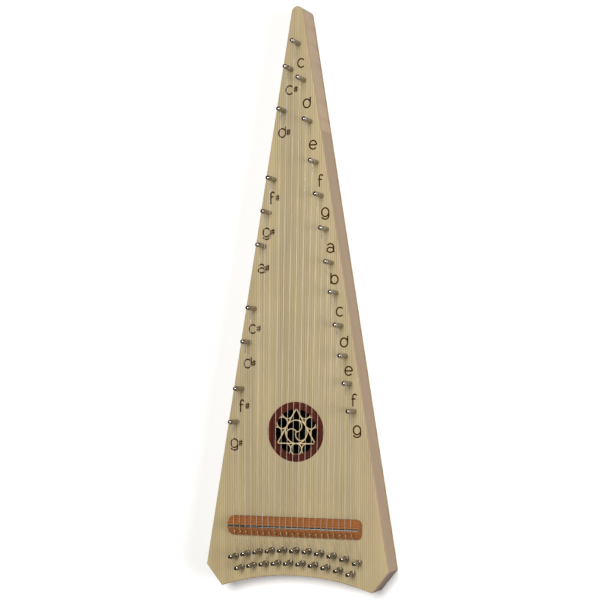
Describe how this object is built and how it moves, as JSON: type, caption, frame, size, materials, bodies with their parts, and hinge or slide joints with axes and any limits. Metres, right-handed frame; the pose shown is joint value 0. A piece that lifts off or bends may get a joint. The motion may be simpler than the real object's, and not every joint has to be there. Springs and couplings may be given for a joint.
{
  "type": "bowed psaltery",
  "caption": "Triangular wooden soundbox with steel strings fanning from a bar bridge to pins along both sides, a carved rosette and turnable tuning pins at the wide end.",
  "frame": {"origin": "middle of the back face's bounding box, on the face the instrument lies on", "axes": "+X to the right side with the natural notes, +Y from the wide end with the tuning pins to the nose, +Z out of the soundboard"},
  "size_m": [0.195, 0.59, 0.053],
  "materials": {
    "soundboard_spruce": "planed and sealed with a thin matt lacquer",
    "frame_beech": "planed and sealed with a thin matt lacquer",
    "brace_spruce": "sawn, bare",
    "bridge_cherry": "oiled",
    "ring_rosewood": "turned and polished",
    "fretwork_maple": "laser-cut",
    "rod_steel": "drawn and polished",
    "guide_steel": "nickel-plated",
    "hitch_steel": "nickel-plated",
    "pin_steel": "nickel-plated",
    "wire_steel": "drawn"
  },
  "bodies": {
    "soundbox": {"soundboard": "soundboard_spruce", "back": "frame_beech", "rail_left": "frame_beech", "rail_right": "frame_beech", "head_block": "frame_beech", "pin_block": "frame_beech", "rosette_ring": "ring_rosewood", "rosette_fretwork": "fretwork_maple", "bridge": "bridge_cherry", "saddle_rod": "rod_steel", "guide_pins": "guide_steel", "hitch_pins_left": "hitch_steel", "hitch_pins_right": "hitch_steel", "soundboard_brace_lower": "brace_spruce", "soundboard_brace_upper": "brace_spruce", "back_brace_lower": "brace_spruce", "back_brace_middle": "brace_spruce", "back_brace_upper": "brace_spruce", "string_c4": "wire_steel", "string_cs4": "wire_steel", "string_d4": "wire_steel", "string_ds4": "wire_steel", "string_e4": "wire_steel", "string_f4": "wire_steel", "string_fs4": "wire_steel", "string_g4": "wire_steel", "string_gs4": "wire_steel", "string_a4": "wire_steel", "string_as4": "wire_steel", "string_b4": "wire_steel", "string_c5": "wire_steel", "string_cs5": "wire_steel", "string_d5": "wire_steel", "string_ds5": "wire_steel", "string_e5": "wire_steel", "string_f5": "wire_steel", "string_fs5": "wire_steel", "string_g5": "wire_steel", "string_gs5": "wire_steel"},
    "pin_c4": {"tuning_pin_c4": "pin_steel"},
    "pin_cs4": {"tuning_pin_cs4": "pin_steel"},
    "pin_d4": {"tuning_pin_d4": "pin_steel"},
    "pin_ds4": {"tuning_pin_ds4": "pin_steel"},
    "pin_e4": {"tuning_pin_e4": "pin_steel"},
    "pin_f4": {"tuning_pin_f4": "pin_steel"},
    "pin_fs4": {"tuning_pin_fs4": "pin_steel"},
    "pin_g4": {"tuning_pin_g4": "pin_steel"},
    "pin_gs4": {"tuning_pin_gs4": "pin_steel"},
    "pin_a4": {"tuning_pin_a4": "pin_steel"},
    "pin_as4": {"tuning_pin_as4": "pin_steel"},
    "pin_b4": {"tuning_pin_b4": "pin_steel"},
    "pin_c5": {"tuning_pin_c5": "pin_steel"},
    "pin_cs5": {"tuning_pin_cs5": "pin_steel"},
    "pin_d5": {"tuning_pin_d5": "pin_steel"},
    "pin_ds5": {"tuning_pin_ds5": "pin_steel"},
    "pin_e5": {"tuning_pin_e5": "pin_steel"},
    "pin_f5": {"tuning_pin_f5": "pin_steel"},
    "pin_fs5": {"tuning_pin_fs5": "pin_steel"},
    "pin_g5": {"tuning_pin_g5": "pin_steel"},
    "pin_gs5": {"tuning_pin_gs5": "pin_steel"}
  },
  "joints": [
    {"name": "tune_c4", "type": "hinge", "parent": "soundbox", "child": "pin_c4", "pos_m": [-0.00461, -0.26834, 0.0325], "axis": [0, 0, -1], "range_deg": [-270, 90]},
    {"name": "tune_cs4", "type": "hinge", "parent": "soundbox", "child": "pin_cs4", "pos_m": [-0.01121, -0.25576, 0.0325], "axis": [0, 0, -1], "range_deg": [-270, 90]},
    {"name": "tune_d4", "type": "hinge", "parent": "soundbox", "child": "pin_d4", "pos_m": [0.002, -0.25551, 0.0325], "axis": [0, 0, -1], "range_deg": [-270, 90]},
    {"name": "tune_ds4", "type": "hinge", "parent": "soundbox", "child": "pin_ds4", "pos_m": [-0.01782, -0.26894, 0.0325], "axis": [0, 0, -1], "range_deg": [-270, 90]},
    {"name": "tune_e4", "type": "hinge", "parent": "soundbox", "child": "pin_e4", "pos_m": [0.00861, -0.26845, 0.0325], "axis": [0, 0, -1], "range_deg": [-270, 90]},
    {"name": "tune_f4", "type": "hinge", "parent": "soundbox", "child": "pin_f4", "pos_m": [0.01521, -0.25597, 0.0325], "axis": [0, 0, -1], "range_deg": [-270, 90]},
    {"name": "tune_fs4", "type": "hinge", "parent": "soundbox", "child": "pin_fs4", "pos_m": [-0.02442, -0.25671, 0.0325], "axis": [0, 0, -1], "range_deg": [-270, 90]},
    {"name": "tune_g4", "type": "hinge", "parent": "soundbox", "child": "pin_g4", "pos_m": [0.02182, -0.26927, 0.0325], "axis": [0, 0, -1], "range_deg": [-270, 90]},
    {"name": "tune_gs4", "type": "hinge", "parent": "soundbox", "child": "pin_gs4", "pos_m": [-0.03103, -0.27026, 0.0325], "axis": [0, 0, -1], "range_deg": [-270, 90]},
    {"name": "tune_a4", "type": "hinge", "parent": "soundbox", "child": "pin_a4", "pos_m": [0.02842, -0.25714, 0.0325], "axis": [0, 0, -1], "range_deg": [-270, 90]},
    {"name": "tune_as4", "type": "hinge", "parent": "soundbox", "child": "pin_as4", "pos_m": [-0.03763, -0.25839, 0.0325], "axis": [0, 0, -1], "range_deg": [-270, 90]},
    {"name": "tune_b4", "type": "hinge", "parent": "soundbox", "child": "pin_b4", "pos_m": [0.03503, -0.2708, 0.0325], "axis": [0, 0, -1], "range_deg": [-270, 90]},
    {"name": "tune_c5", "type": "hinge", "parent": "soundbox", "child": "pin_c5", "pos_m": [0.04163, -0.25904, 0.0325], "axis": [0, 0, -1], "range_deg": [-270, 90]},
    {"name": "tune_cs5", "type": "hinge", "parent": "soundbox", "child": "pin_cs5", "pos_m": [-0.04424, -0.2723, 0.0325], "axis": [0, 0, -1], "range_deg": [-270, 90]},
    {"name": "tune_d5", "type": "hinge", "parent": "soundbox", "child": "pin_d5", "pos_m": [0.04824, -0.27306, 0.0325], "axis": [0, 0, -1], "range_deg": [-270, 90]},
    {"name": "tune_ds5", "type": "hinge", "parent": "soundbox", "child": "pin_ds5", "pos_m": [-0.05084, -0.26079, 0.0325], "axis": [0, 0, -1], "range_deg": [-270, 90]},
    {"name": "tune_e5", "type": "hinge", "parent": "soundbox", "child": "pin_e5", "pos_m": [0.05484, -0.26167, 0.0325], "axis": [0, 0, -1], "range_deg": [-270, 90]},
    {"name": "tune_f5", "type": "hinge", "parent": "soundbox", "child": "pin_f5", "pos_m": [0.06145, -0.27607, 0.0325], "axis": [0, 0, -1], "range_deg": [-270, 90]},
    {"name": "tune_fs5", "type": "hinge", "parent": "soundbox", "child": "pin_fs5", "pos_m": [-0.05745, -0.27508, 0.0325], "axis": [0, 0, -1], "range_deg": [-270, 90]},
    {"name": "tune_g5", "type": "hinge", "parent": "soundbox", "child": "pin_g5", "pos_m": [0.06806, -0.26507, 0.0325], "axis": [0, 0, -1], "range_deg": [-270, 90]},
    {"name": "tune_gs5", "type": "hinge", "parent": "soundbox", "child": "pin_gs5", "pos_m": [-0.06406, -0.26396, 0.0325], "axis": [0, 0, -1], "range_deg": [-270, 90]}
  ]
}
